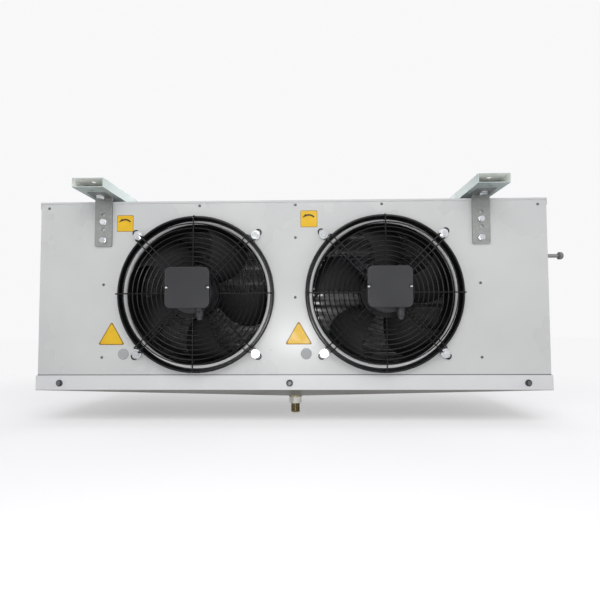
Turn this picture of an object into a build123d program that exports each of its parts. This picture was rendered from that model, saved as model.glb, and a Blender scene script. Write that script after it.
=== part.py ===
"""Ceiling-hung unit cooler for a walk-in cold room, with two 350 mm external-rotor fans.

Frame: +X right, +Y towards the back (air intake), +Z up, millimetres.
Origin: centre of the four ceiling-bolt holes, on the top plane of the hanging rails.
Fan pieces are drawn in a fan's own frame, +Z out of the fan panel, and then placed.
"""
import os
from math import cos, radians, sin

from build123d import *

# ---------------------------------------------------------------- driving dimensions
# Casing
CASE_WIDTH = 1302.0
CASE_DEPTH = 470.0
CASE_TOP_Z = -35.5
FRONT_HEIGHT = 486.0  # casing top to the lower edge of the pan lip
SHEET = 1.5
COVER_SHEET = 1.2
FOLD = 14.0
COVER_HEM = 5.0
COVER_SIDE_HEM = 18.0
COVER_REAR_FLANGE = 30.0
END_FOLD = 22.0

# Hanging rails and the brackets that carry the casing
RAIL_PITCH = 970.0
RAIL_OVERHANG = 87.0
RAIL_WIDTH = 76.0
RAIL_HEIGHT = 23.0
RAIL_WALL = 2.0
CEILING_HOLE_R = 6.0
CEILING_HOLE_INSET = 30.0
BRACKET_WIDTH = 45.0
BRACKET_FOOT = 44.0
BRACKET_THICK = 3.0
BRACKET_CORNER_R = 4.0
BRACKET_DROP = {"front": 117.0, "rear": 29.0}
BRACKET_HOLES = {"front": (35.5, 54.0, 73.0, 101.5), "rear": (16.0,)}
BOLTED_HOLES = {"front": (54.0, 101.5), "rear": (16.0,)}
LEG_HOLE_R = 5.0
LEG_BOLT_R = 4.0
FOOT_BOLT_R = 5.0

# Drain pan and outlet
PAN_LIP = 37.5
PAN_SIDE_GAP = 2.5
PAN_DROP = 35.0
PAN_FLAT = 64.0
PAN_SCREW_X = 593.5
PAN_SCREW_BELOW_TOP = 468.0
DRAIN_X = 6.0
DRAIN_BEHIND_FRONT = 155.0
DRAIN_BORE_R = 10.5
DRAIN_THREAD_R = 13.2
DRAIN_NECK_R = 13.6
DRAIN_WASHER_R = 20.0
DRAIN_WASHER_THICK = 7.0
DRAIN_NUT_HEIGHT = 18.0
DRAIN_NUT_FLATS = 31.2
DRAIN_REACH = 51.0

# Fan openings in the panel, with the ring in front and the shroud behind
FAN_X = {"left": -242.0, "right": 237.0}
FAN_BELOW_TOP = 242.0
PLUG_X = (-430.0, 39.0)
PLUG_BELOW_TOP = 394.5
COLLAR_OUTER_R = 188.5
COLLAR_R = 182.0
COLLAR_DEPTH = 7.5
RING_OUTER_R = 200.0
RING_HEIGHT = 17.0
SHROUD_DEPTH = 85.0
THROAT_R = 178.5

# Impeller
BLADE_COUNT = 5
BLADE_TIP_R = 175.0
BLADE_MID = -45.0
BLADE_THICK = 2.2
BLADE_CAMBER = 0.07
BLADE_SECTIONS = (  # radius, chord, pitch angle, sweep angle
    (53.0, 56.0, 37.0, 0.0),
    (95.0, 84.0, 29.0, -7.0),
    (138.0, 108.0, 24.0, -3.0),
    (177.0, 122.0, 20.0, 12.0),
)
REST_TURN = {"left": 60.0, "right": 16.0}

# Fan guard wires
GUARD_RING_FIRST_R = 68.5
GUARD_RING_STEP = 12.0
GUARD_RING_COUNT = 10
GUARD_RING_WIRE = 3.0
GUARD_RING_FRONT = 34.0
SPOKE_R = 1.6
SPOKE_START = 51.0
GUARD_BOLT_OFFSET = 152.0
HAIRPIN_GAP = 15.0

# Motor, with the rotor outside the stator
HOUSING_R = 50.0
HOUSING_FRONT = 66.0
FLANGE_R = 60.0
BEARING_TUBE_R = 14.0
TUBE_BACK = -50.0
BEARING_R = 11.0
BEARING_WIDTH = 9.0
BEARING_PLACES = (TUBE_BACK, 18.0)
SHAFT_R = 6.0
RUNNING_GAP = 0.03
STATOR_R = 40.0
AIR_GAP = 1.0
ROTOR_R = 52.0
ROTOR_FRONT = 22.0
ROTOR_BACK = -62.0
BOX_WIDTH = 106.0
BOX_HEIGHT = 98.0
BOX_CORNER_R = 13.5
BOX_DRAFT = 6.0
BOX_BACK = 58.0
LID_BACK = 84.0
LID_FRONT = 90.0
BOX_RISE = 11.0
LID_SCREW_X = BOX_WIDTH / 2 - 4
LID_RECESS = 3.0
GLAND_X = 27.0
GLAND_Z = 71.0

# Coil and pipes
COIL_DEPTH = 175.0
COIL_BEHIND = 13.0
COIL_TOP_GAP = 14.0
COIL_HEIGHT = 443.0
TUBE_SHEET_X = 578.0
FIN_STEP = 10.0
FIN_THICK = 0.5
TUBE_ROWS = 3
TUBES_HIGH = 8
TUBE_R = 6.35
TUBE_STEP_Z = 50.0
TUBE_STUB = 14.0
PIPE_X = 634.0
HEADER_X = 626.0
LIQUID_R = 5.0
SUCTION_R = 11.0
SUCTION_SHOULDER_R = 12.0
FEED_WIDTH = 4.0
HEADER_R = 19.0
LIQUID_BEND = 14.0
DISTRIBUTOR_LENGTH = 34.0
STUB_REACH = 59.0
SUCTION_REACH = 62.0
CAP_LENGTH = 11.0

# ---------------------------------------------------------------- derived places
SIDES = {"left": -1, "right": 1}
ENDS = {"front": -1, "rear": 1}
RAIL_LENGTH = CASE_DEPTH + 2 * RAIL_OVERHANG
HALF_WIDTH = CASE_WIDTH / 2
FRONT_Y = -CASE_DEPTH / 2
BACK_Y = CASE_DEPTH / 2
UNDER_COVER_Z = CASE_TOP_Z - COVER_SHEET
LIP_BOTTOM_Z = CASE_TOP_Z - FRONT_HEIGHT
LIP_TOP_Z = LIP_BOTTOM_Z + PAN_LIP
PANEL_BOTTOM_Z = LIP_BOTTOM_Z + 6.0
PAN_HALF_WIDTH = HALF_WIDTH + PAN_SIDE_GAP + SHEET
PAN_LOW_Z = LIP_BOTTOM_Z - PAN_DROP
DRAIN_Y = FRONT_Y + DRAIN_BEHIND_FRONT
FAN_Z = CASE_TOP_Z - FAN_BELOW_TOP
COIL_BACK_Y = BACK_Y - COIL_BEHIND
COIL_FRONT_Y = COIL_BACK_Y - COIL_DEPTH
COIL_TOP_Z = CASE_TOP_Z - COIL_TOP_GAP
COIL_BOTTOM_Z = COIL_TOP_Z - COIL_HEIGHT
TUBE_END_X = TUBE_SHEET_X + TUBE_STUB
LIQUID_Y = FRONT_Y + 41.0
LIQUID_Z = CASE_TOP_Z - 143.5
DISTRIBUTOR_Y = COIL_FRONT_Y - 45.0
SUCTION_Y = COIL_FRONT_Y - 20.0
HEADER_Z = COIL_TOP_Z - TUBE_STEP_Z * (TUBES_HIGH - 0.25)
GUARD_BOLT_R = GUARD_BOLT_OFFSET * 2**0.5


# ---------------------------------------------------------------- helpers
def block(x0, x1, y0, y1, z0, z1):
    """Box between two corners, given in any order."""
    size = Box(abs(x1 - x0), abs(y1 - y0), abs(z1 - z0))
    return Pos((x0 + x1) / 2, (y0 + y1) / 2, (z0 + z1) / 2) * size


def rod(radius, start, end):
    """Round bar from start to end."""
    line = Vector(*end) - Vector(*start)
    bar = Cylinder(radius, line.length, align=(Align.CENTER, Align.CENTER, Align.MIN))
    return Plane(origin=start, z_dir=line) * bar


def turned(points):
    """Closed outline of (radius, height) points, turned about Z."""
    outline = make_face(Polyline(*[(r, 0, z) for r, z in points], close=True))
    return revolve(outline, Axis.Z)


def band(inner, outer, low, high):
    """Plain ring about Z, rectangular in section."""
    return turned([(inner, low), (outer, low), (outer, high), (inner, high)])


def hex_screw(across_flats, head, washer_r, washer):
    """Hex head on a round washer; the seat is at z=0 and the head points along +Z."""
    disc = Cylinder(washer_r, washer, align=(Align.CENTER, Align.CENTER, Align.MIN))
    flats = extrude(RegularPolygon(across_flats / 2, 6, major_radius=False), head)
    return disc + Pos(0, 0, washer) * flats


def bent_bar(points, width):
    """Square bar along straight runs, mitred at the corners."""
    path = Polyline(*points)
    section = Plane(origin=path @ 0, z_dir=path % 0) * Rectangle(width, width)
    return sweep(section, path, transition=Transition.RIGHT)


def group(shapes):
    """Separate solids kept together in one node."""
    return Compound(children=[solid for shape in shapes for solid in shape.solids()])


def fan_place(side):
    """A fan's own frame: +Z out of the panel into the room, +Y up."""
    return Pos(FAN_X[side], FRONT_Y, FAN_Z) * Rot(90, 0, 0)


def facing(end, x, y, z):
    """Place whose +Z points out of the casing's front or rear face."""
    return Pos(x, y, z) * Rot(90 if end == "front" else -90, 0, 0)


# ---------------------------------------------------------------- casing
def fan_collar():
    """Rim of a fan opening, rolled back from the panel face into a short neck."""
    roll = COLLAR_OUTER_R - COLLAR_R
    face_side = CenterArc((COLLAR_OUTER_R, -roll), roll, 90, 90)
    back_side = CenterArc((COLLAR_OUTER_R, -roll), roll - SHEET, 90, 90)
    neck_end = Line((COLLAR_R, -COLLAR_DEPTH), (COLLAR_R + SHEET, -COLLAR_DEPTH))
    outline = face_side + back_side + neck_end
    outline += Line(face_side @ 1, neck_end @ 0) + Line(neck_end @ 1, back_side @ 1)
    outline += Line(back_side @ 0, face_side @ 0)
    return revolve(Plane.XZ * make_face(outline), Axis.Z)


def fan_panel():
    """Folded front sheet with two openings whose rims roll back into collars."""
    panel = block(-HALF_WIDTH, HALF_WIDTH, FRONT_Y, FRONT_Y + SHEET, PANEL_BOTTOM_Z, UNDER_COVER_Z)
    for side in SIDES:
        panel -= fan_place(side) * Cylinder(COLLAR_OUTER_R, 4 * SHEET)
        panel += fan_place(side) * fan_collar()
    for z in (PANEL_BOTTOM_Z, UNDER_COVER_Z - SHEET):
        x = HALF_WIDTH - END_FOLD - SHEET
        panel += block(-x, x, FRONT_Y, FRONT_Y + FOLD, z, z + SHEET)
    return panel


def panel_fold_notch():
    """Room for the fan panel's top and bottom folds, cut from plates that meet it."""
    zs = (PANEL_BOTTOM_Z, UNDER_COVER_Z - SHEET)
    return [block(-HALF_WIDTH, HALF_WIDTH, FRONT_Y, FRONT_Y + FOLD, z, z + SHEET) for z in zs]


def top_cover():
    """Lid with a narrow front hem, side hems and a rear flange."""
    x = HALF_WIDTH + COVER_SHEET
    front = FRONT_Y - COVER_SHEET
    back = BACK_Y + COVER_SHEET
    cover = block(-x, x, front, back, UNDER_COVER_Z, CASE_TOP_Z)
    cover += block(-x, x, front, FRONT_Y, CASE_TOP_Z - COVER_HEM, CASE_TOP_Z)
    cover += block(-x, x, BACK_Y, back, CASE_TOP_Z - COVER_REAR_FLANGE, CASE_TOP_Z)
    for s in SIDES.values():
        cover += block(s * HALF_WIDTH, s * x, front, back, CASE_TOP_Z - COVER_SIDE_HEM, CASE_TOP_Z)
    return cover


def end_panel(side):
    """Side cover of a pipe space, with a front fold and a wide rear flange."""
    s = SIDES[side]
    y0 = FRONT_Y + SHEET
    outer = s * HALF_WIDTH
    panel = block(outer - s * SHEET, outer, y0, BACK_Y, PANEL_BOTTOM_Z, UNDER_COVER_Z)
    panel += block(outer - s * END_FOLD, outer, y0, y0 + SHEET, PANEL_BOTTOM_Z, UNDER_COVER_Z)
    inner = s * (TUBE_SHEET_X + SHEET)
    panel += block(inner, outer, BACK_Y - SHEET, BACK_Y, PANEL_BOTTOM_Z, UNDER_COVER_Z)
    if side == "right":
        for radius, y, z in ((LIQUID_R, LIQUID_Y, LIQUID_Z), (SUCTION_SHOULDER_R, SUCTION_Y, HEADER_Z)):
            panel -= rod(radius + 1, (outer - 2 * SHEET, y, z), (outer + SHEET, y, z))
    return panel


def fan_baffle():
    """Upright plate between the fans, flanged where it meets the fan panel."""
    front = FRONT_Y + SHEET
    half = SHEET / 2
    baffle = block(-half, half, front, COIL_FRONT_Y - 25, PANEL_BOTTOM_Z, UNDER_COVER_Z)
    baffle += block(-half, 24, front, front + SHEET, PANEL_BOTTOM_Z, UNDER_COVER_Z)
    for notch in panel_fold_notch():
        baffle -= notch
    return baffle


def hole_plugs():
    """Plastic plugs in the two cable holes of the fan panel."""
    plug = turned([(0, 0), (14, 0), (13, 2), (0, 2.6)])
    return group([facing("front", x, FRONT_Y, CASE_TOP_Z - PLUG_BELOW_TOP) * plug for x in PLUG_X])


# ---------------------------------------------------------------- hanging gear
def foot_bolt_y(end):
    """Where the rail bolt passes a bracket's foot."""
    return ENDS[end] * (BACK_Y + COVER_SHEET + BRACKET_FOOT / 2)


def hanging_rail(side):
    """Rectangular section, open at both ends, drilled for the ceiling bolts and the brackets."""
    x = SIDES[side] * RAIL_PITCH / 2
    half = RAIL_LENGTH / 2
    rail = block(x - RAIL_WIDTH / 2, x + RAIL_WIDTH / 2, -half, half, -RAIL_HEIGHT, 0)
    inner = RAIL_WIDTH / 2 - RAIL_WALL
    rail -= block(x - inner, x + inner, -half - 1, half + 1, RAIL_WALL - RAIL_HEIGHT, -RAIL_WALL)
    for end, sign in ENDS.items():
        y = sign * (half - CEILING_HOLE_INSET)
        rail -= rod(CEILING_HOLE_R, (x, y, -RAIL_HEIGHT - 1), (x, y, 1))
        y = foot_bolt_y(end)
        rail -= rod(FOOT_BOLT_R, (x, y, -RAIL_HEIGHT - 1), (x, y, -RAIL_HEIGHT / 2))
    return rail


def bracket(side, end):
    """Galvanised angle: its foot bears under the rail and its leg runs down the casing."""
    x = SIDES[side] * RAIL_PITCH / 2
    sign = ENDS[end]
    face = sign * (BACK_Y + COVER_SHEET)
    x0 = x - BRACKET_WIDTH / 2
    x1 = x + BRACKET_WIDTH / 2
    low = CASE_TOP_Z - BRACKET_DROP[end]
    leg = block(x0, x1, face, face + sign * BRACKET_THICK, low, -RAIL_HEIGHT)
    lower_corners = leg.edges().filter_by(Axis.Y).group_by(Axis.Z)[0]
    angle = fillet(lower_corners, BRACKET_CORNER_R)
    angle += block(x0, x1, face, face + sign * BRACKET_FOOT, -RAIL_HEIGHT - BRACKET_THICK, -RAIL_HEIGHT)
    for below in BRACKET_HOLES[end]:
        z = CASE_TOP_Z - below
        angle -= rod(LEG_HOLE_R, (x, face - sign, z), (x, face + sign * 2 * BRACKET_THICK, z))
    y = foot_bolt_y(end)
    return angle - rod(FOOT_BOLT_R, (x, y, -RAIL_HEIGHT - 2 * BRACKET_THICK), (x, y, 0))


def bracket_bolts():
    """Hex bolts through the bracket legs."""
    bolts = []
    for side, s in SIDES.items():
        for end, sign in ENDS.items():
            reach = BRACKET_THICK + (COVER_SHEET if end == "front" else 0)
            bolt = hex_screw(13, 5.3, 8.0, 1.6) + rod(LEG_BOLT_R, (0, 0, -reach), (0, 0, 1))
            y = sign * (BACK_Y + COVER_SHEET + BRACKET_THICK)
            for below in BOLTED_HOLES[end]:
                bolts.append(facing(end, s * RAIL_PITCH / 2, y, CASE_TOP_Z - below) * bolt)
    return group(bolts)


def rail_bolts():
    """Hex bolts up through each bracket foot, with their nuts inside the rail."""
    clamped = BRACKET_THICK + RAIL_WALL
    nut = Pos(0, 0, -clamped - 8) * extrude(RegularPolygon(8.5, 6, major_radius=False), 8)
    bolt = hex_screw(17, 6.4, 10.5, 1.8) + rod(FOOT_BOLT_R, (0, 0, -clamped - 10), (0, 0, 1)) + nut
    seat_z = -RAIL_HEIGHT - BRACKET_THICK
    places = [Pos(s * RAIL_PITCH / 2, foot_bolt_y(end), seat_z) for s in SIDES.values() for end in ENDS]
    return group([place * Rot(180, 0, 0) * bolt for place in places])


# ---------------------------------------------------------------- drain pan
def pan_hopper(wall):
    """Shallow four-sided hopper from the pan's rim to the flat round the outlet."""
    rim = Pos(0, 0, LIP_BOTTOM_Z + wall) * Rectangle(
        2 * (PAN_HALF_WIDTH - wall), CASE_DEPTH + 2 * SHEET - 2 * wall
    )
    flat = Pos(DRAIN_X, DRAIN_Y, PAN_LOW_Z + wall) * Rectangle(PAN_FLAT, PAN_FLAT)
    return loft([rim, flat])


def drain_pan():
    """Tray with a front lip over the fan panel and a floor that falls to the outlet."""
    x = PAN_HALF_WIDTH
    y = BACK_Y + SHEET
    pan = block(-x, x, -y, y, LIP_BOTTOM_Z, LIP_TOP_Z) + pan_hopper(0)
    x -= SHEET
    y -= SHEET
    pan -= block(-x, x, -y, y, LIP_BOTTOM_Z + SHEET, LIP_TOP_Z + SHEET)
    pan -= pan_hopper(SHEET)
    below = (DRAIN_X, DRAIN_Y, PAN_LOW_Z - SHEET)
    return pan - rod(DRAIN_NECK_R, below, (DRAIN_X, DRAIN_Y, LIP_BOTTOM_Z))


def drip_tray():
    """Aluminium tray under the coil, hung between the tube sheets, with two run-off holes."""
    x = TUBE_SHEET_X
    y0 = COIL_FRONT_Y - 20
    y1 = COIL_BACK_Y + 8
    z = COIL_BOTTOM_Z - 12
    tray = block(-x, x, y0, y1, z, z + 1)
    for edge in (y0, y1 - 1):
        tray += block(-x, x, edge, edge + 1, z, z + 10)
    for hole_x in (-60, 60):
        tray -= rod(20, (hole_x, (y0 + y1) / 2, z - 1), (hole_x, (y0 + y1) / 2, z + 2))
    return tray


def pan_screws():
    """Washer-head screws in the pan's front and rear lips."""
    screw = hex_screw(10, 4.5, 8.2, 1.5)
    screws = []
    for end, sign in ENDS.items():
        y = sign * (BACK_Y + SHEET)
        for x in (-PAN_SCREW_X, -3.5, PAN_SCREW_X):
            screws.append(facing(end, x, y, CASE_TOP_Z - PAN_SCREW_BELOW_TOP) * screw)
    return group(screws)


def drain_stack():
    """Brass washer, plated hex nut and hollow threaded outlet, from the pan down."""
    place = Pos(DRAIN_X, DRAIN_Y, PAN_LOW_Z)
    washer_z = -DRAIN_WASHER_THICK
    washer = band(DRAIN_NECK_R, DRAIN_WASHER_R, washer_z, 0)
    nut_z = washer_z - DRAIN_NUT_HEIGHT
    hexagon = Rot(0, 0, 14.5) * RegularPolygon(DRAIN_NUT_FLATS / 2, 6, major_radius=False)
    nut = Pos(0, 0, nut_z) * extrude(hexagon - Circle(DRAIN_NECK_R), DRAIN_NUT_HEIGHT)
    top = SHEET + 3
    spigot = turned(
        [(DRAIN_BORE_R, top), (19, top), (19, SHEET), (DRAIN_NECK_R, SHEET), (DRAIN_NECK_R, nut_z)]
        + [(DRAIN_THREAD_R, nut_z), (DRAIN_THREAD_R, -DRAIN_REACH), (DRAIN_BORE_R, -DRAIN_REACH)]
    )
    return {"drain_washer": place * washer, "drain_nut": place * nut, "drain_spigot": place * spigot}


# ---------------------------------------------------------------- coil and pipes
def tube_places():
    """(row, step, y, z) of each coil tube; every second row sits half a step lower."""
    for row in range(TUBE_ROWS):
        y = COIL_FRONT_Y + COIL_DEPTH / TUBE_ROWS * (row + 0.5)
        top = COIL_TOP_Z - TUBE_STEP_Z / 2 * (1 + row % 2)
        for step in range(TUBES_HIGH):
            yield row, step, y, top - step * TUBE_STEP_Z


def fin_pack():
    """Aluminium plate fins, side by side between the tube sheets."""
    gaps = int(2 * (TUBE_SHEET_X - FIN_STEP) / FIN_STEP)
    plate = Box(FIN_THICK, COIL_DEPTH, COIL_HEIGHT)
    y = (COIL_FRONT_Y + COIL_BACK_Y) / 2
    z = (COIL_TOP_Z + COIL_BOTTOM_Z) / 2
    return group([Pos((i - gaps / 2) * FIN_STEP, y, z) * plate for i in range(gaps + 1)])


def coil_tubes():
    """Copper tubes through every fin and both tube sheets."""
    return group([rod(TUBE_R, (-TUBE_END_X, y, z), (TUBE_END_X, y, z)) for _, _, y, z in tube_places()])


def return_bends():
    """U bends that join neighbouring tube ends in turn, left and right."""
    middle = TUBE_STEP_Z / 2
    half_width = TUBE_R * 0.8
    ring = Circle(middle + half_width) - Circle(middle - half_width)
    arch = extrude(ring & Pos(middle, 0) * Rectangle(2 * middle, 4 * middle), half_width, both=True)
    bends = []
    for _, step, y, z in tube_places():
        if step + 1 < TUBES_HIGH:
            right = step % 2 == 1
            place = Pos(TUBE_END_X if right else -TUBE_END_X, y, z - middle)
            bends.append(place * Rot(90, 0, 0 if right else 180) * arch)
    return group(bends)


def tube_sheet(side):
    """Galvanised plate at the coil's end, carried forward to close off the pipe space."""
    x0 = SIDES[side] * TUBE_SHEET_X
    x1 = SIDES[side] * (TUBE_SHEET_X + SHEET)
    sheet = block(x0, x1, FRONT_Y + SHEET, BACK_Y, PANEL_BOTTOM_Z, UNDER_COVER_Z)
    for notch in panel_fold_notch():
        sheet -= notch
    return sheet


def suction_header():
    """Copper collector beside the last tubes, with its stub out through the end panel."""
    x = HEADER_X
    shoulder_x = HALF_WIDTH + 2
    end_x = HALF_WIDTH + SUCTION_REACH
    pipe = rod(HEADER_R, (x, SUCTION_Y - HEADER_R, HEADER_Z), (x, COIL_BACK_Y - 10, HEADER_Z))
    pipe += rod(SUCTION_SHOULDER_R, (x, SUCTION_Y, HEADER_Z), (shoulder_x, SUCTION_Y, HEADER_Z))
    pipe += rod(SUCTION_R, (x, SUCTION_Y, HEADER_Z), (end_x, SUCTION_Y, HEADER_Z))
    for _, step, y, z in tube_places():
        if step == TUBES_HIGH - 1:
            pipe += rod(TUBE_R, (TUBE_END_X, y, z), (x, y, z))
    return pipe


def liquid_line():
    """Copper line from the flared stub on the right side back to the distributor."""
    start = (HALF_WIDTH + STUB_REACH - CAP_LENGTH, LIQUID_Y, LIQUID_Z)
    corner = (PIPE_X, LIQUID_Y, LIQUID_Z)
    path = FilletPolyline(start, corner, (PIPE_X, DISTRIBUTOR_Y, LIQUID_Z), radius=LIQUID_BEND)
    return sweep(Plane(origin=path @ 0, z_dir=path % 0) * Circle(LIQUID_R), path)


def flare_cap():
    """Hex blanking cap on the flared end of the liquid stub."""
    seat = HALF_WIDTH + STUB_REACH - CAP_LENGTH
    cap = turned([(0, 0), (7, 0), (9.8, 2), (9.8, 8), (8, CAP_LENGTH), (0, CAP_LENGTH)])
    return Pos(seat, LIQUID_Y, LIQUID_Z) * Rot(0, 90, 0) * cap


def distributor():
    """Brass cone that shares the liquid between the coil circuits."""
    back = DISTRIBUTOR_LENGTH
    cone = turned([(0, 0), (7, 0), (7, 12), (12, back - 8), (12, back), (0, back)])
    return Pos(PIPE_X, DISTRIBUTOR_Y, LIQUID_Z) * Rot(-90, 0, 0) * cone


def feed_tubes():
    """Thin tubes from the distributor's face to the first tube of each row."""
    face_y = DISTRIBUTOR_Y + DISTRIBUTOR_LENGTH
    tubes = []
    for row, step, y, z in tube_places():
        if step == 0:
            x = PIPE_X + 6 * (row - 1)
            start = (x, face_y, LIQUID_Z + 5 - 5 * (row % 2))
            knees = [(x, y, start[2]), (x, y, z)]
            tubes.append(bent_bar([start, *knees, (TUBE_END_X, y, z)], FEED_WIDTH))
    return group(tubes)


def defrost_heaters():
    """Rod heaters across the coil's front face, between the tube sheets."""
    y = COIL_FRONT_Y - 6
    return group([rod(4, (-TUBE_SHEET_X, y, z), (TUBE_SHEET_X, y, z)) for z in (-150, -300, -450)])


def junction_box():
    """Plastic connection box on the left tube sheet, inside the pipe space."""
    inner = -TUBE_SHEET_X - SHEET
    box = block(inner - 48, inner, -150, -30, -320, -230)
    return fillet(box.edges().filter_by(Axis.X), 6)


# ---------------------------------------------------------------- fans
def fan_ring():
    """Pressed ring on the panel face, flared outwards round the opening."""
    wall = 1.2
    outside = [(RING_OUTER_R, 0), (RING_OUTER_R, 13.5), (RING_OUTER_R - 2, RING_HEIGHT)]
    outside += [(RING_OUTER_R - 5.5, RING_HEIGHT), (COLLAR_OUTER_R + 0.5, 0)]
    inside = [(COLLAR_OUTER_R + 0.5 + 1.3 * wall, 0), (RING_OUTER_R - 4.7, RING_HEIGHT - wall)]
    inside += [(RING_OUTER_R - 2.7, RING_HEIGHT - wall)]
    inside += [(RING_OUTER_R - wall, 13.2), (RING_OUTER_R - wall, 0)]
    return turned(outside + inside)


def fan_shroud():
    """Throat that hangs on the panel's back and runs close round the blade tips."""
    wall = 2.0
    back = -SHROUD_DEPTH
    mouth = -COLLAR_DEPTH - 0.5
    seat_r = COLLAR_OUTER_R + 5
    outline = [(COLLAR_R, mouth), (seat_r, mouth), (seat_r, -SHEET), (seat_r + wall, -SHEET)]
    outline += [(seat_r + wall, mouth - wall), (COLLAR_R + wall, mouth - wall), (THROAT_R + wall, mouth - 14)]
    outline += [(THROAT_R + wall, back + wall), (THROAT_R + 10, back + wall), (THROAT_R + 10, back)]
    return turned(outline + [(THROAT_R, back), (THROAT_R, mouth - 14)])


def spoke_point(angle, along, across, z):
    """Point at a distance along and across a spoke that leaves the centre at an angle."""
    a = radians(angle)
    return (along * cos(a) - across * sin(a), along * sin(a) + across * cos(a), z)


def guard_hairpin(angle):
    """Double spoke: one wire out to the panel, round the bolt and back."""
    high = GUARD_RING_FRONT + SPOKE_R
    gap = HAIRPIN_GAP / 2
    reach = GUARD_BOLT_R + 13
    out = [(SPOKE_START, high), (RING_OUTER_R - 1, high), (RING_OUTER_R + 3.2, SPOKE_R), (reach, SPOKE_R)]
    points = [spoke_point(angle, along, gap, z) for along, z in out]
    points += [spoke_point(angle, reach + gap / 2, 0, SPOKE_R)]
    points += [spoke_point(angle, along, -gap, z) for along, z in reversed(out)]
    return bent_bar(points, 2 * SPOKE_R)


def guard_spoke(angle):
    """Single spoke, turned down at its tip to stand on the ring."""
    high = GUARD_RING_FRONT + SPOKE_R
    tip = RING_OUTER_R - 2 - SPOKE_R
    out = [(SPOKE_START, high), (tip, high), (tip, RING_HEIGHT)]
    return bent_bar([spoke_point(angle, along, 0, z) for along, z in out], 2 * SPOKE_R)


def fan_guard():
    """Wire guard: centre plate, concentric rings and the spokes that lie on them."""
    back = GUARD_RING_FRONT - GUARD_RING_WIRE
    wires = [band(40, 62, back, GUARD_RING_FRONT)]
    for i in range(GUARD_RING_COUNT):
        middle = GUARD_RING_FIRST_R + i * GUARD_RING_STEP
        inner = middle - GUARD_RING_WIRE / 2
        outer = middle + GUARD_RING_WIRE / 2
        wires.append(band(inner, outer, back, GUARD_RING_FRONT))
    wires += [guard_hairpin(angle) for angle in (45, 135, 225, 315)]
    wires += [guard_spoke(angle) for angle in (0, 90, 180, 270)]
    return group(wires)


def guard_bolts():
    """Hex bolts and wide washers that clamp the guards' eyelets to the panel."""
    seat = 2 * SPOKE_R
    bolt = Pos(0, 0, seat) * hex_screw(13, 5.5, 12, 2) + rod(LEG_BOLT_R, (0, 0, 0), (0, 0, seat + 1))
    offsets = [(a * GUARD_BOLT_OFFSET, b * GUARD_BOLT_OFFSET) for a in (-1, 1) for b in (-1, 1)]
    return group([fan_place(side) * Pos(x, y, 0) * bolt for side in SIDES for x, y in offsets])


def blade():
    """Sickle blade lofted through cambered sections and trimmed to the tip circle."""
    sections = []
    for radius, chord, pitch, sweep_angle in BLADE_SECTIONS:
        a = radians(sweep_angle)
        out = (cos(a), sin(a), 0)
        centre = (radius * out[0], radius * out[1], BLADE_MID)
        plane = Plane(origin=centre, x_dir=(-out[1], out[0], 0), z_dir=out)
        half = chord / 2
        rise = BLADE_CAMBER * chord
        skin = BLADE_THICK / 2
        upper = ThreePointArc((-half, skin), (0, rise + skin), (half, skin))
        lower = ThreePointArc((half, -skin), (0, rise - skin), (-half, -skin))
        outline = upper + Line(upper @ 1, lower @ 0) + lower + Line(lower @ 1, upper @ 0)
        sections.append(plane * Rot(0, 0, pitch) * make_face(outline))
    return loft(sections) & Cylinder(BLADE_TIP_R, 300)


def impeller():
    """Five blades on the band that is pressed over the rotor."""
    band_r = ROTOR_R + 2.0
    wheel = band(ROTOR_R, band_r, ROTOR_BACK, -20)
    one = blade()
    for i in range(BLADE_COUNT):
        wheel += Rot(0, 0, i * 360 / BLADE_COUNT) * one
    return wheel


def motor_pieces():
    """Pieces of one external-rotor motor, in the fan's frame."""
    plate_back = GUARD_RING_FRONT - GUARD_RING_WIRE
    flange = turned(
        [(BEARING_R, TUBE_BACK), (BEARING_TUBE_R, TUBE_BACK), (BEARING_TUBE_R, plate_back - 5)]
        + [(FLANGE_R, plate_back - 5), (FLANGE_R, plate_back), (BEARING_R, plate_back)]
    )
    stator = band(BEARING_TUBE_R, STATOR_R, -44, 12)
    bore = STATOR_R + AIR_GAP
    shell = turned(
        [(SHAFT_R, ROTOR_BACK), (ROTOR_R - 4, ROTOR_BACK), (ROTOR_R, ROTOR_BACK + 4), (ROTOR_R, ROTOR_FRONT)]
        + [(bore, ROTOR_FRONT), (bore, ROTOR_BACK + 6), (SHAFT_R, ROTOR_BACK + 6)]
    )
    shaft = turned([(0, ROTOR_BACK - 2), (SHAFT_R, ROTOR_BACK - 2), (SHAFT_R, 28), (0, 28)])
    front = HOUSING_FRONT
    low = GUARD_RING_FRONT
    housing = turned(
        [(HOUSING_R, low), (HOUSING_R, BOX_BACK - 4), (HOUSING_R - 4, BOX_BACK), (0, BOX_BACK)]
        + [(0, BOX_BACK - 3), (HOUSING_R - 5, BOX_BACK - 3), (HOUSING_R - 5, low)]
    )
    return {
        "motor_flange": flange,
        "stator_core": stator,
        "rotor_shell": shell,
        "rotor_shaft": shaft,
        "motor_housing": housing,
    }


def motor_bearings():
    """Two bearing rings in each motor's tube; the shaft runs in them."""
    bore = SHAFT_R + RUNNING_GAP
    ring = band(bore, BEARING_R, 0, BEARING_WIDTH)
    return group([fan_place(side) * Pos(0, 0, z) * ring for side in SIDES for z in BEARING_PLACES])


def box_block():
    """Outside of the terminal box, drafted towards the motor."""
    back = RectangleRounded(BOX_WIDTH - BOX_DRAFT, BOX_HEIGHT - BOX_DRAFT, BOX_CORNER_R - 2)
    front = RectangleRounded(BOX_WIDTH, BOX_HEIGHT, BOX_CORNER_R)
    return loft([Pos(0, BOX_RISE, BOX_BACK) * back, Pos(0, BOX_RISE, LID_BACK) * front])


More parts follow.
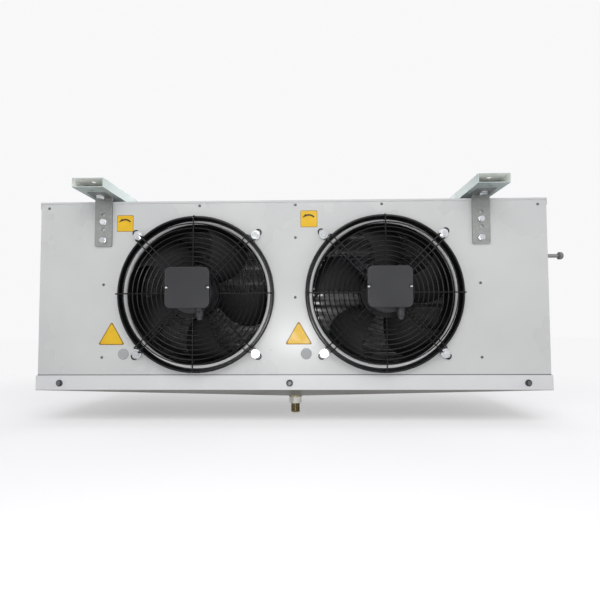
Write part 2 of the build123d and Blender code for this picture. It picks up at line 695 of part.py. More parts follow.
def terminal_box():
    """Moulded box in front of the motor, open towards its lid."""
    room = RectangleRounded(BOX_WIDTH - 16, BOX_HEIGHT - 16, BOX_CORNER_R)
    return box_block() - Pos(0, BOX_RISE, BOX_BACK + 3) * extrude(room, LID_BACK - BOX_BACK)


def terminal_lid():
    """Lid with softened edges and a screw recess at the middle of each side."""
    outline = RectangleRounded(BOX_WIDTH, BOX_HEIGHT, BOX_CORNER_R)
    lid = Pos(0, BOX_RISE, LID_BACK) * extrude(outline, LID_FRONT - LID_BACK)
    lid = chamfer(lid.edges().group_by(Axis.Z)[-1], 1.5)
    for sign in (-1, 1):
        lid -= Pos(sign * LID_SCREW_X, BOX_RISE, LID_FRONT) * Cylinder(5.5, 2 * LID_RECESS)
    return lid


def lid_screws():
    """Two screws in each terminal lid."""
    head = Pos(0, 0, LID_FRONT - LID_RECESS) * turned([(0, 0), (3.4, 0), (3.4, 1.2), (2.2, 2.4), (0, 2.4)])
    xs = (-LID_SCREW_X, LID_SCREW_X)
    return group([fan_place(side) * Pos(x, BOX_RISE, 0) * head for side in SIDES for x in xs])


def cable_gland():
    """Gland under the terminal box: hex base, dome nut and sealing mouth."""
    hexagon = Pos(0, 0, -BOX_DRAFT) * extrude(RegularPolygon(10, 6, major_radius=False), 6 + BOX_DRAFT)
    dome = turned([(0, 6), (9.2, 6), (9.2, 17), (7, 23), (6.5, 28), (0, 28)])
    gland = Pos(GLAND_X, BOX_RISE - BOX_HEIGHT / 2, GLAND_Z) * Rot(90, 0, 0) * (hexagon + dome)
    return gland - box_block()


# ---------------------------------------------------------------- nodes
def build_nodes():
    """Every node's name and shape."""
    nodes = {
        "fan_panel": fan_panel(),
        "top_cover": top_cover(),
        "fan_baffle": fan_baffle(),
        "hole_plugs": hole_plugs(),
        "bracket_bolts": bracket_bolts(),
        "rail_bolts": rail_bolts(),
        "drain_pan": drain_pan(),
        "drip_tray": drip_tray(),
        "pan_screws": pan_screws(),
        "fin_pack": fin_pack(),
        "coil_tubes": coil_tubes(),
        "return_bends": return_bends(),
        "suction_header": suction_header(),
        "liquid_line": liquid_line(),
        "flare_cap": flare_cap(),
        "distributor": distributor(),
        "feed_tubes": feed_tubes(),
        "defrost_heaters": defrost_heaters(),
        "junction_box": junction_box(),
        "guard_bolts": guard_bolts(),
        "lid_screws": lid_screws(),
        "motor_bearings": motor_bearings(),
    }
    nodes |= drain_stack()
    turning = {"rotor_shell", "rotor_shaft", "impeller"}
    fan_pieces = motor_pieces() | {
        "fan_ring": fan_ring(),
        "fan_shroud": fan_shroud(),
        "fan_guard": fan_guard(),
        "impeller": impeller(),
        "terminal_box": terminal_box(),
        "terminal_lid": terminal_lid(),
        "cable_gland": cable_gland(),
    }
    for side in SIDES:
        nodes[f"end_panel_{side}"] = end_panel(side)
        nodes[f"tube_sheet_{side}"] = tube_sheet(side)
        nodes[f"hanging_rail_{side}"] = hanging_rail(side)
        for end in ENDS:
            nodes[f"{end}_bracket_{side}"] = bracket(side, end)
        for name, piece in fan_pieces.items():
            turn = Rot(0, 0, REST_TURN[side]) if name in turning else Rot(0, 0, 0)
            nodes[f"{name}_{side}"] = fan_place(side) * turn * piece
    return nodes


os.makedirs("parts", exist_ok=True)
for node, shape in build_nodes().items():
    export_step(shape, f"parts/{node}.step")
    print(node, len(shape.solids()), "solid(s)")
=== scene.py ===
# %% [markdown]
# # A walk-in unit cooler
# A unit cooler hangs from the ceiling of a cold room. Two fans in a folded steel casing blow the
# room's air through a finned coil, and the melt water of each defrost runs into the pan below.
# The solids come from the CAD part and stay where they are. This lesson gives them their finishes
# and makes, with round wires, smooth turned rings and small fasteners, what flat-faced solids
# can't show. The frame is +X right, +Y back, +Z up, in metres.

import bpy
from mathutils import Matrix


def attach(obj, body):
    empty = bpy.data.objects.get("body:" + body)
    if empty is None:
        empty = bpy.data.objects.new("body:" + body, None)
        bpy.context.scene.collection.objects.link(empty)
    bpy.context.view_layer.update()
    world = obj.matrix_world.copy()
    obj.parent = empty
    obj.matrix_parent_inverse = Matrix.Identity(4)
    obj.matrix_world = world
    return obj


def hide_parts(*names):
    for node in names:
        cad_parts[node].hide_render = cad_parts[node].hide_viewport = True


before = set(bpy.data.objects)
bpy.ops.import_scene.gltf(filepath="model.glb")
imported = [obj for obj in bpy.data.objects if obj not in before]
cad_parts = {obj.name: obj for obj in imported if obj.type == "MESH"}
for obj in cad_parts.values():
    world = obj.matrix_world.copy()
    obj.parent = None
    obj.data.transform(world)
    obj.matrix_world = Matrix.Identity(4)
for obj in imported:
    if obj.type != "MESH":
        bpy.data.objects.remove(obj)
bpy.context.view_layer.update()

# %% [markdown]
# Sizes are written once, in metres, and named for the pieces they belong to. They are the CAD
# part's own values, so that dressed pieces lie on their solids. Only the coil's fins, further
# down, depart from them a little.

# %% Tools and main sizes
import math

import bmesh
import bpy
from mathutils import Matrix, Vector

MM = 0.001
SIDES = {"left": -1, "right": 1}
FRONT_Y = -235 * MM
CASE_TOP_Z = -35.5 * MM
FAN_X = {"left": -242 * MM, "right": 237 * MM}
FAN_Z = CASE_TOP_Z - 242 * MM
FLOOR_Z = -610 * MM


def fan_place(side):
    """A fan's own frame: X right, Y up, Z out of the panel."""
    out_of_panel = Matrix.Rotation(math.radians(90), 4, "X")
    return Matrix.Translation((FAN_X[side], FRONT_Y, FAN_Z)) @ out_of_panel


def panel_place(x, below_top, out=0.0):
    """A place on the front face, given by x and the distance below the casing's top."""
    out_of_panel = Matrix.Rotation(math.radians(90), 4, "X")
    return Matrix.Translation((x, FRONT_Y - out, CASE_TOP_Z - below_top)) @ out_of_panel


print("fan centres at", [tuple(round(v, 3) for v in fan_place(side).translation) for side in SIDES])

# %% [markdown]
# ## Finishes
# A finish is a colour plus how rough it is and what breaks it up. Colours are written the way a
# paint card gives them, 0 to 255, and turned into the linear values that shaders expect.
# Three effects are used by several finishes, so each is a node group, built once: a soft mottle
# for paint and plastic, the crystal flakes of hot-dip zinc, and the fine lines of drawn metal.

# %% Colour and node helpers
def colour(red, green, blue):
    """Linear RGBA of a paint-card colour."""
    def linear(value):
        share = value / 255
        return share / 12.92 if share <= 0.04045 else ((share + 0.055) / 1.055) ** 2.4

    return (linear(red), linear(green), linear(blue), 1.0)


def node(tree, kind, **settings):
    """Add a shader node; settings are its properties, or its inputs where the name is one."""
    made = tree.nodes.new("ShaderNode" + kind)
    for name, value in settings.items():
        label = name.replace("_", " ")
        socket = made.inputs.get(label)
        if socket is None:
            setattr(made, name, value)
        elif isinstance(value, bpy.types.NodeSocket):
            tree.links.new(value, socket)
        else:
            socket.default_value = value
    return made


def maths(tree, operation, first, second=0.0):
    """A Math node on two values or sockets; returns its output."""
    made = tree.nodes.new("ShaderNodeMath")
    made.operation = operation
    for socket, value in zip(made.inputs, (first, second)):
        if isinstance(value, bpy.types.NodeSocket):
            tree.links.new(value, socket)
        else:
            socket.default_value = value
    return made.outputs[0]


def ramp(tree, value, low, high, low_value=0.0, high_value=1.0):
    """Map a value between two limits, clamped and smoothed."""
    made = tree.nodes.new("ShaderNodeMapRange")
    made.interpolation_type = "SMOOTHSTEP"
    limits = {"From Min": low, "From Max": high, "To Min": low_value, "To Max": high_value}
    for name, number in limits.items():
        made.inputs[name].default_value = number
    tree.links.new(value, made.inputs["Value"])
    return made.outputs["Result"]


def effect_group(name, scale, build):
    """A node group with a Scale input and Mask and Height outputs."""
    group = bpy.data.node_groups.new(name, "ShaderNodeTree")
    face = group.interface
    number = "NodeSocketFloat"
    face.new_socket(name="Scale", in_out="INPUT", socket_type=number).default_value = scale
    face.new_socket(name="Mask", in_out="OUTPUT", socket_type=number)
    face.new_socket(name="Height", in_out="OUTPUT", socket_type=number)
    inside = group.nodes.new("NodeGroupInput")
    outside = group.nodes.new("NodeGroupOutput")
    where = group.nodes.new("ShaderNodeTexCoord").outputs["Object"]
    mask, height = build(group, where, inside.outputs["Scale"])
    group.links.new(mask, outside.inputs["Mask"])
    group.links.new(height, outside.inputs["Height"])
    return group


# %% [markdown]
# The clouds of a powder coat are broad and faint. Zinc crystals are cells with one grey each, so
# Voronoi gives them. Drawn metal is noise stretched along Y, the way the rails run.

# %% The three shared effects
def mottle_nodes(tree, where, scale):
    """Broad soft clouds for the mask and a fine orange-peel for the height."""
    clouds = node(tree, "TexNoise", Vector=where, Scale=scale, Detail=3.0, Roughness=0.55)
    peel = node(tree, "TexNoise", Vector=where, Scale=900.0, Detail=1.0)
    return ramp(tree, clouds.outputs["Fac"], 0.3, 0.7), peel.outputs["Fac"]


def spangle_nodes(tree, where, scale):
    """Flat crystal flakes, each with its own grey."""
    flakes = node(tree, "TexVoronoi", Vector=where, Scale=scale, feature="F1")
    split = tree.nodes.new("ShaderNodeSeparateColor")
    tree.links.new(flakes.outputs["Color"], split.inputs["Color"])
    clouds = node(tree, "TexNoise", Vector=where, Scale=14.0, Detail=4.0)
    blend = maths(tree, "ADD", maths(tree, "MULTIPLY", split.outputs[0], 0.55),
                  maths(tree, "MULTIPLY", clouds.outputs["Fac"], 0.45))
    return blend, flakes.outputs["Distance"]


def drawn_nodes(tree, where, scale):
    """Streaks along Y, the way rails and bars are drawn."""
    stretched = node(tree, "Mapping", Vector=where, Scale=(1.0, 0.03, 1.0))
    lines = node(tree, "TexNoise", Vector=stretched.outputs["Vector"], Scale=scale, Detail=4.0)
    clouds = node(tree, "TexNoise", Vector=where, Scale=22.0, Detail=3.0)
    blend = maths(tree, "ADD", maths(tree, "MULTIPLY", lines.outputs["Fac"], 0.5),
                  maths(tree, "MULTIPLY", clouds.outputs["Fac"], 0.5))
    return ramp(tree, blend, 0.35, 0.65), lines.outputs["Fac"]


EFFECTS = {
    "mottle": effect_group("paint_mottle", 5.0, mottle_nodes),
    "spangle": effect_group("zinc_spangle", 160.0, spangle_nodes),
    "drawn": effect_group("drawn_lines", 350.0, drawn_nodes),
}
print("effects:", ", ".join(EFFECTS))

# %% [markdown]
# Every finish is a Principled shader. One of the effects moves its colour between two near
# shades and its roughness between two values, and a faint bump gives the skin. Values that are
# the same all over, such as metallic or coat, are set on the shader's own sockets. Two sheet
# finishes also darken below a height, and that darkening is painted shade, colour here and not
# shape: on the panel it is the shadow in the gap above the pan's lip, and on the pan it is shade
# on the underside, laid over the olive tone of its bare sheet.

# %% Make the finishes
COAT_ROUGHNESS = 0.2
SKIN_DEPTH = 0.2 * MM


def finish(name, light, dark, rough=(0.35, 0.45), effect="mottle", scale=5.0, metallic=0.0,
           bump=0.0, coat=0.0, specular=0.5, below=None):
    """A material whose colour and roughness follow one of the shared effects.

    With below=(high, low, colour), it fades to another colour between two heights; both finishes
    that use it paint shade this way.
    """
    material = bpy.data.materials.new(name)
    material.use_nodes = True
    tree = material.node_tree
    shader = tree.nodes["Principled BSDF"]
    group = tree.nodes.new("ShaderNodeGroup")
    group.node_tree = EFFECTS[effect]
    group.inputs["Scale"].default_value = scale
    mix = tree.nodes.new("ShaderNodeMix")
    mix.data_type = "RGBA"
    mix.inputs["A"].default_value = colour(*dark)
    mix.inputs["B"].default_value = colour(*light)
    tree.links.new(group.outputs["Mask"], mix.inputs["Factor"])
    skin = mix.outputs["Result"]
    # Below a height the colour fades to a darker one, which is painted shade.
    if below:
        high, low, painted_shade_colour = below
        where = tree.nodes.new("ShaderNodeTexCoord").outputs["Object"]
        place = node(tree, "SeparateXYZ", Vector=where)
        fade = tree.nodes.new("ShaderNodeMix")
        fade.data_type = "RGBA"
        share = ramp(tree, place.outputs["Z"], low, high, 1.0, 0.0)
        tree.links.new(share, fade.inputs["Factor"])
        tree.links.new(skin, fade.inputs["A"])
        fade.inputs["B"].default_value = colour(*painted_shade_colour)
        skin = fade.outputs["Result"]
    tree.links.new(skin, shader.inputs["Base Color"])
    tree.links.new(ramp(tree, group.outputs["Mask"], 0.0, 1.0, *rough), shader.inputs["Roughness"])
    shader.inputs["Metallic"].default_value = metallic
    shader.inputs["Specular IOR Level"].default_value = specular
    shader.inputs["Coat Weight"].default_value = coat
    shader.inputs["Coat Roughness"].default_value = COAT_ROUGHNESS
    if bump:
        relief = node(tree, "Bump", Height=group.outputs["Height"], Strength=bump,
                      Distance=SKIN_DEPTH)
        tree.links.new(relief.outputs["Normal"], shader.inputs["Normal"])
    return material


FINISHES = {
    "casing": finish("casing_powder_coat", (205, 206, 206), (199, 200, 201),
                     (0.32, 0.40), bump=0.15),
    # The panel's dark band just above the pan's lip is painted shadow of the gap there.
    "panel": finish("panel_coat_with_painted_shade", (205, 207, 206), (199, 201, 201), (0.26, 0.33), bump=0.1,
                    coat=0.1, below=(-480.6 * MM, -483.2 * MM, (84, 86, 88))),
    # Below the lip the pan's underside turns dark olive: the tone of bare sheet with painted shade
    # on it.
    "pan": finish("pan_coat_with_painted_shade", (219, 220, 221), (214, 215, 217), (0.28, 0.36), bump=0.1,
                  below=(-519.8 * MM, -521.6 * MM, (82, 79, 68))),
    "ring": finish("ring_black_gloss", (16, 17, 18), (10, 11, 12), (0.2, 0.3), specular=0.28),
    "shroud": finish("shroud_black", (14, 15, 16), (9, 10, 11), (0.5, 0.65), specular=0.2),
    "wire": finish("guard_wire_black", (12, 12, 13), (7, 7, 8),
                   (0.26, 0.38), scale=40.0, specular=0.22),
    "blade": finish("blade_black", (20, 21, 22), (13, 14, 15),
                    (0.5, 0.65), scale=12.0, specular=0.25),
    "moulding": finish("motor_moulding_black", (46, 47, 50), (39, 40, 43),
                       (0.36, 0.48), bump=0.4, specular=0.4),
    "cast": finish("motor_cast_aluminium", (170, 172, 174), (140, 142, 145),
                   (0.35, 0.55), "spangle", 300.0, metallic=1.0),
    "steel": finish("bright_steel", (190, 192, 195), (160, 162, 165),
                    (0.22, 0.4), "drawn", metallic=1.0),
    "rail": finish("rail_bright_zinc", (192, 203, 200), (168, 180, 178),
                   (0.36, 0.5), "drawn", metallic=0.35),
    # Painted light: a paler, matt copy of the rail's zinc, so that the rails' inside looks lit.
    "rail_inside": finish("rail_inside_zinc", (246, 248, 244), (232, 235, 230),
                          (0.45, 0.6), scale=20.0),
    "galvanised": finish("bracket_galvanised", (156, 158, 156), (128, 130, 128),
                         (0.4, 0.6), "spangle", 260.0, metallic=0.85, bump=0.3),
    "sheet": finish("galvanised_sheet", (168, 168, 160), (140, 140, 132),
                    (0.4, 0.55), "spangle", 120.0, metallic=0.8),
    "bolt": finish("bolt_bright_zinc", (222, 224, 226), (190, 193, 196),
                   (0.15, 0.3), "drawn", metallic=1.0),
    "screw": finish("screw_dark_zinc", (120, 123, 126), (84, 87, 90),
                    (0.3, 0.45), scale=60.0, metallic=0.8),
    "rivet": finish("rivet_dull", (110, 111, 112), (84, 85, 86),
                    (0.4, 0.55), scale=60.0, metallic=0.6),
    "plug": finish("plug_grey", (166, 168, 170), (158, 160, 162), (0.45, 0.6)),
    "rubber": finish("rubber_grey", (62, 64, 68), (50, 52, 55), (0.55, 0.7), scale=60.0),
    "fins": finish("fin_aluminium", (214, 216, 214), (190, 192, 190),
                   (0.3, 0.45), "drawn", metallic=0.5),
    "copper": finish("drawn_copper", (200, 130, 95), (165, 98, 66),
                     (0.25, 0.4), "drawn", metallic=1.0),
    "brass": finish("turned_brass", (178, 168, 142), (142, 132, 106),
                    (0.2, 0.38), "drawn", metallic=1.0),
    "nickel": finish("nickel_plate", (225, 224, 218), (195, 193, 186),
                     (0.12, 0.28), "drawn", metallic=1.0),
    "cap": finish("cap_dark_steel", (140, 140, 138), (108, 108, 107),
                  (0.35, 0.5), scale=60.0, metallic=0.7),
    "box": finish("junction_box_grey", (176, 178, 176), (168, 170, 168), (0.5, 0.6)),
    "heater": finish("heater_sheath", (120, 120, 122), (96, 96, 98),
                     (0.3, 0.5), "drawn", metallic=1.0),
    "yellow": finish("label_yellow", (232, 187, 34), (222, 176, 26), (0.3, 0.42), scale=30.0),
    "label_edge": finish("label_edge_ochre", (150, 112, 24), (136, 100, 18),
                         (0.35, 0.45), scale=30.0),
    "print": finish("label_black", (40, 26, 12), (30, 20, 10), (0.35, 0.45), scale=30.0),
}
print(len(FINISHES), "finishes")

# %% [markdown]
# The solids that stay visible get their finish on the slot they came with. A name that ends in a
# side is looked up without it, so that the left and right pieces share one line.

# %% Finish the CAD nodes
NODE_FINISH = {
    "fan_panel": "panel", "top_cover": "casing", "drain_pan": "pan", "end_panel": "casing",
    "fan_baffle": "sheet", "tube_sheet": "sheet", "drip_tray": "fins", "hole_plugs": "plug",
    "bracket_bolts": "bolt", "rail_bolts": "bolt", "pan_screws": "screw", "guard_bolts": "bolt",
    "lid_screws": "bolt", "fin_pack": "fins", "coil_tubes": "copper", "return_bends": "copper",
    "suction_header": "copper", "liquid_line": "cap",
    "feed_tubes": "copper", "distributor": "brass",
    "flare_cap": "cap", "defrost_heaters": "heater", "junction_box": "box", "drain_washer": "brass",
    "drain_nut": "nickel", "drain_spigot": "brass",
    "motor_bearings": "steel", "hanging_rail": "rail",
    "front_bracket": "galvanised", "rear_bracket": "galvanised", "fan_ring": "ring",
    "fan_shroud": "shroud", "fan_guard": "wire", "impeller": "blade", "motor_flange": "cast",
    "stator_core": "steel", "rotor_shell": "cast",
    "rotor_shaft": "steel", "motor_housing": "moulding",
    "terminal_box": "moulding", "terminal_lid": "moulding", "cable_gland": "moulding",
}


def finish_name_of(name):
    """The name of a CAD node's finish."""
    stem = name.rsplit("_", 1)[0] if name.endswith(("_left", "_right")) else name
    return NODE_FINISH[stem]


for name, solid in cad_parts.items():
    solid.data.materials.clear()
    solid.data.materials.append(FINISHES[finish_name_of(name)])
print("finished", len(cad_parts), "nodes")

# %% [markdown]
# ## Pieces
# Every new piece is built as a mesh in its final place, shaded smooth except over sharp edges,
# and then rides on the body of the solid that it stands for.

# %% Helpers that make a piece
MERGE = 1e-6


def add_piece(name, mesh, finish_name, replaces=(), body="casing", smooth_deg=35, bevel=0.0):
    """Turn a bmesh into a finished object that rides on a CAD body."""
    bmesh.ops.remove_doubles(mesh, verts=mesh.verts, dist=MERGE)
    bmesh.ops.recalc_face_normals(mesh, faces=mesh.faces)
    for face in mesh.faces:
        face.smooth = True
    data = bpy.data.meshes.new(name)
    mesh.to_mesh(data)
    mesh.free()
    data.set_sharp_from_angle(angle=math.radians(smooth_deg))
    data.materials.append(FINISHES[finish_name])
    piece = bpy.data.objects.new(name, data)
    bpy.context.scene.collection.objects.link(piece)
    if bevel:
        edge = piece.modifiers.new("soft_edges", "BEVEL")
        edge.width = bevel
        edge.segments = 2
        edge.limit_method = "ANGLE"
        edge.angle_limit = math.radians(smooth_deg)
        edge.harden_normals = True
    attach(piece, body)
    if replaces:
        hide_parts(*replaces)
    return piece


def smooth_copy(node_name, body="casing", bevel=0.0, smooth_deg=35):
    """A merged copy of a CAD node with smooth curves; the flat faces keep their own normals."""
    mesh = bmesh.new()
    mesh.from_mesh(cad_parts[node_name].data)
    bmesh.ops.remove_doubles(mesh, verts=mesh.verts, dist=MERGE)
    bmesh.ops.dissolve_limit(mesh, angle_limit=math.radians(1), verts=mesh.verts, edges=mesh.edges)
    piece = add_piece(node_name + "_dressed", mesh, finish_name_of(node_name), [node_name], body,
                      smooth_deg, bevel)
    if not bevel:
        flat = piece.modifiers.new("flat_faces_lead", "WEIGHTED_NORMAL")
        flat.keep_sharp = True
    return piece


def turned(mesh, outline, steps=96):
    """Spin a closed (radius, height) outline into a ring about Z."""
    verts = [mesh.verts.new((r, 0, z)) for r, z in outline]
    edges = [mesh.edges.new(pair) for pair in zip(verts, verts[1:] + verts[:1])]
    bmesh.ops.spin(mesh, geom=verts + edges, cent=(0, 0, 0), axis=(0, 0, 1),
                   angle=math.tau, steps=steps, use_merge=True)


def add_to(whole, part):
    """Move a small mesh's faces into a bigger one."""
    data = bpy.data.meshes.new("part")
    part.to_mesh(data)
    part.free()
    whole.from_mesh(data)
    bpy.data.meshes.remove(data)


print("helpers ready")

# %% [markdown]
# ## The wire guard
# A guard is welded from round wire: ten rings lie behind four single and four double spokes. Each
# double spoke is one wire that runs out, drops to the panel, turns round its bolt and comes back.
# A wire is a small circle pushed along its path: extruded on the straights, spun at the corners.

# %% Bent round wire
def bent_wire(mesh, corners, bends, radius, sides=10):
    """Round wire through the corners, turned at each one with its own bend radius."""
    points = [Vector(corner) for corner in corners]
    heading = (points[1] - points[0]).normalized()
    place = heading.to_track_quat("Z", "Y").to_matrix().to_4x4()
    place.translation = points[0]
    ring = bmesh.ops.create_circle(mesh, cap_ends=True, radius=radius, segments=sides,
                                   matrix=place)["verts"]
    edges = list({edge for vert in ring for edge in vert.link_edges})
    here = points[0]
    for index in range(1, len(points)):
        target = points[index]
        if index < len(points) - 1:
            onward = (points[index + 1] - points[index]).normalized()
            angle = heading.angle(onward)
            back_off = bends[index - 1] * math.tan(angle / 2)
            target = target - heading * back_off
        grown = bmesh.ops.extrude_edge_only(mesh, edges=edges)["geom"]
        ring = [item for item in grown if isinstance(item, bmesh.types.BMVert)]
        edges = [item for item in grown if isinstance(item, bmesh.types.BMEdge)
                 and item.verts[0] in ring and item.verts[1] in ring]
        bmesh.ops.translate(mesh, verts=ring, vec=target - here)
        here = target
        if index < len(points) - 1 and angle > 1e-3:
            axis = heading.cross(onward).normalized()
            centre = here + axis.cross(heading) * bends[index - 1]
            turn = bmesh.ops.spin(mesh, geom=ring + edges, cent=centre, axis=axis, angle=angle,
                                  steps=max(2, round(angle / 0.3)))["geom_last"]
            ring = [item for item in turn if isinstance(item, bmesh.types.BMVert)]
            edges = [item for item in turn if isinstance(item, bmesh.types.BMEdge)]
            here = here + heading * back_off + onward * back_off
            heading = onward
    bmesh.ops.contextual_create(mesh, geom=edges)


# %% [markdown]
# The guard's sizes are named below. A spoke is laid out along X and turned to its angle, so one
# description serves all eight.

# %% Guard wires of both fans
RING_FIRST_R = 68.5 * MM
RING_STEP = 12 * MM
RING_COUNT = 10
RING_WIRE_R = 1.5 * MM
RING_MIDDLE_Z = 32.5 * MM
SPOKE_R = 1.6 * MM
SPOKE_Z = 35.6 * MM
SPOKE_START = 51 * MM
RING_HEIGHT = 17 * MM
BOLT_OFFSET = 152 * MM


def spoke_point(angle_deg, along, across, height):
    """A point along and across a spoke that leaves the fan's centre at an angle."""
    turn = Matrix.Rotation(math.radians(angle_deg), 3, "Z")
    return turn @ Vector((along, across, height))


def guard_mesh():
    """Rings, plate and spokes of one guard, in the fan's frame."""
    mesh = bmesh.new()
    for number in range(RING_COUNT):
        middle = RING_FIRST_R + number * RING_STEP
        wire = [Matrix.Rotation(math.tau * k / 8, 3, "Y") @ Vector((RING_WIRE_R, 0, 0))
                for k in range(8)]
        turned(mesh, [(middle + p.x, RING_MIDDLE_Z + p.z) for p in wire], steps=96)
    turned(mesh, [(40 * MM, 31 * MM), (62 * MM, 31 * MM), (62 * MM, 34 * MM), (40 * MM, 34 * MM)])
    gap = 7.5 * MM
    reach = math.hypot(BOLT_OFFSET, BOLT_OFFSET) + 13 * MM
    for angle in (45, 135, 225, 315):
        out = [(SPOKE_START, SPOKE_Z), (199 * MM, SPOKE_Z), (203.2 * MM, SPOKE_R),
               (reach + gap / 2, SPOKE_R)]
        corners = [spoke_point(angle, along, gap, height) for along, height in out]
        corners += [spoke_point(angle, along, -gap, height) for along, height in reversed(out)]
        bent_wire(mesh, corners, [4 * MM, 2 * MM, 7.4 * MM, 7.4 * MM, 2 * MM, 4 * MM], SPOKE_R)
    for angle in (0, 90, 180, 270):
        out = [(SPOKE_START, SPOKE_Z), (196.4 * MM, SPOKE_Z), (196.4 * MM, RING_HEIGHT)]
        corners = [spoke_point(angle, along, 0, height) for along, height in out]
        bent_wire(mesh, corners, [5 * MM], SPOKE_R)
    return mesh


for side in SIDES:
    wires = guard_mesh()
    bmesh.ops.transform(wires, matrix=fan_place(side), verts=wires.verts)
    guard = add_piece(f"guard_wires_{side}", wires, "wire", [f"fan_guard_{side}"])
    print(guard.name, len(guard.data.polygons), "faces")

# %% [markdown]
# ## Ring, collar and shroud
# The black ring is pressed sheet with a rounded lip, so its outline is turned in many small steps.
# The panel's rolled collar is a merged copy of the solid, shaded smooth over the roll.

# %% Turned rings of both fans
def lip_outline(outer, inner, height, wall, round_r):
    """Outline of the pressed ring: outside wall, rounded lip, flare down to the opening."""
    outline = [(outer, 0.0), (outer, height - round_r)]
    for step in range(1, 6):
        angle = math.pi / 2 * step / 6
        outline.append((outer - round_r * (1 - math.cos(angle)),
                        height - round_r * (1 - math.sin(angle))))
    outline += [(outer - round_r, height), (outer - round_r - 2 * MM, height)]
    flare, flare_height = inner + 3.2 * MM, height * 0.42
    outline += [(flare, flare_height), (inner + 0.4 * MM, 0.0), (inner + wall + 0.8 * MM, 0.0)]
    outline += [(flare + wall, flare_height), (outer - round_r - 1.2 * MM, height - wall)]
    outline += [(outer - wall, height - round_r), (outer - wall, 0.0)]
    return outline


for side in SIDES:
    shell = bmesh.new()
    turned(shell, lip_outline(200 * MM, 188.6 * MM, RING_HEIGHT, 1.2 * MM, 3.5 * MM), steps=128)
    bmesh.ops.transform(shell, matrix=fan_place(side), verts=shell.verts)
    add_piece(f"pressed_ring_{side}", shell, "ring", [f"fan_ring_{side}"], smooth_deg=50)
for name in ("fan_panel", "fan_shroud_left", "fan_shroud_right"):
    print("smoothed", smooth_copy(name).name)

# %% [markdown]
# ## Fans and motors
# The blades are lofted in the CAD part, so a merged, smooth-shaded copy keeps their exact sickle
# shape and still turns with its own body. The motor's mouldings get softened edges.

# %% Impellers, motors and boxes
for side in SIDES:
    smooth_copy(f"impeller_{side}", body=f"fan_{side}", smooth_deg=40)
    smooth_copy(f"rotor_shell_{side}", body=f"fan_{side}", smooth_deg=40)
    for name in ("motor_flange", "motor_housing", "cable_gland"):
        smooth_copy(f"{name}_{side}", smooth_deg=40)
    for name in ("terminal_box", "terminal_lid"):
        smooth_copy(f"{name}_{side}", bevel=0.8 * MM, smooth_deg=30)
print("fans and motors dressed")

# %% [markdown]
# ## Hanging gear and sheet metal edges
# Folded and rolled steel never has a razor edge. A small bevel on every merged copy catches the
# light along the rails, brackets, nuts and bolts. The rails' inside gets a paler, matt finish that
# is painted light: few rays find their way in, and the paler colour makes the inside look lit.

# %% Soft edges on steel
RAIL_X = 485 * MM
INSIDE_HALF_WIDTH = 36.5 * MM
INSIDE_LOW_Z, INSIDE_HIGH_Z = -21.5 * MM, -1.5 * MM

for side in SIDES:
    rail = smooth_copy(f"hanging_rail_{side}", bevel=1.2 * MM, smooth_deg=30)
    # The inside faces get the paler finish, painted light that makes them look lit.
    rail.data.materials.append(FINISHES["rail_inside"])
    middle_x = RAIL_X * SIDES[side]
    for face in rail.data.polygons:
        within = abs(face.center.x - middle_x) < INSIDE_HALF_WIDTH
        between = INSIDE_LOW_Z < face.center.z < INSIDE_HIGH_Z
        face.material_index = int(within and between and abs(face.normal.y) < 0.5)
    smooth_copy(f"front_bracket_{side}", bevel=0.6 * MM, smooth_deg=30)
    smooth_copy(f"rear_bracket_{side}", bevel=0.6 * MM, smooth_deg=30)
for name in ("drain_nut", "drain_washer"):
    smooth_copy(name, bevel=0.5 * MM, smooth_deg=30)
for name in ("bracket_bolts", "rail_bolts", "pan_screws", "guard_bolts"):
    smooth_copy(name, bevel=0.3 * MM, smooth_deg=30)
print("steel edges softened")

# %% [markdown]
# ## Rivets, screws and labels
# Blind rivets hold the fan panel to the plates behind it. Each is a low dome, turned once and
# copied to its place. The pan's screws sit on dark sealing washers.

# %% Rivets and sealing washers
RIVETS = [(-630, 16), (-235.5, 12.5), (12.5, 12.5), (234, 12), (629.5, 16.5), (12.5, 97.5),
          (11.5, 251), (-484, 216), (481, 216.5), (-485.5, 403), (480.5, 404)]
rivets = bmesh.new()
dome = [(0, 0), (3.6, 0), (3.5, 0.6), (2.9, 1.2), (1.8, 1.6), (0, 1.8)]
for x, below in RIVETS:
    one = bmesh.new()
    turned(one, [(r * MM, z * MM) for r, z in dome], steps=20)
    bmesh.ops.transform(one, matrix=panel_place(x * MM, below * MM), verts=one.verts)
    add_to(rivets, one)
add_piece("panel_rivets", rivets, "rivet", smooth_deg=50)

WASHER = [(5.2, 0), (8.6, 0), (8.4, 1.4), (7.6, 1.9), (5.2, 1.9)]
PAN_SCREWS_BELOW = 468
washers = bmesh.new()
for x in (-593.5, -3.5, 593.5):
    one = bmesh.new()
    turned(one, [(r * MM, z * MM) for r, z in WASHER], steps=32)
    place = panel_place(x * MM, PAN_SCREWS_BELOW * MM, 1.5 * MM)
    bmesh.ops.transform(one, matrix=place, verts=one.verts)
    add_to(washers, one)
add_piece("sealing_washers", washers, "rubber", smooth_deg=40)
print(len(RIVETS), "rivets and 3 sealing washers")

# %% [markdown]
# Labels are thin plates with rounded corners, stacked: a dark edge, a yellow field and, on the
# square ones, a turning arrow that says which way the fan runs. The triangles stay bare.

# %% Labels
def plate(outline, thick, place):
    """A thin plate with the given outline, in millimetres."""
    mesh = bmesh.new()
    face = mesh.faces.new([mesh.verts.new((x * MM, y * MM, 0)) for x, y in outline])
    grown = bmesh.ops.extrude_face_region(mesh, geom=[face])["geom"]
    lifted = [item for item in grown if isinstance(item, bmesh.types.BMVert)]
    bmesh.ops.translate(mesh, verts=lifted, vec=(0, 0, thick * MM))
    bmesh.ops.transform(mesh, matrix=place, verts=mesh.verts)
    return mesh


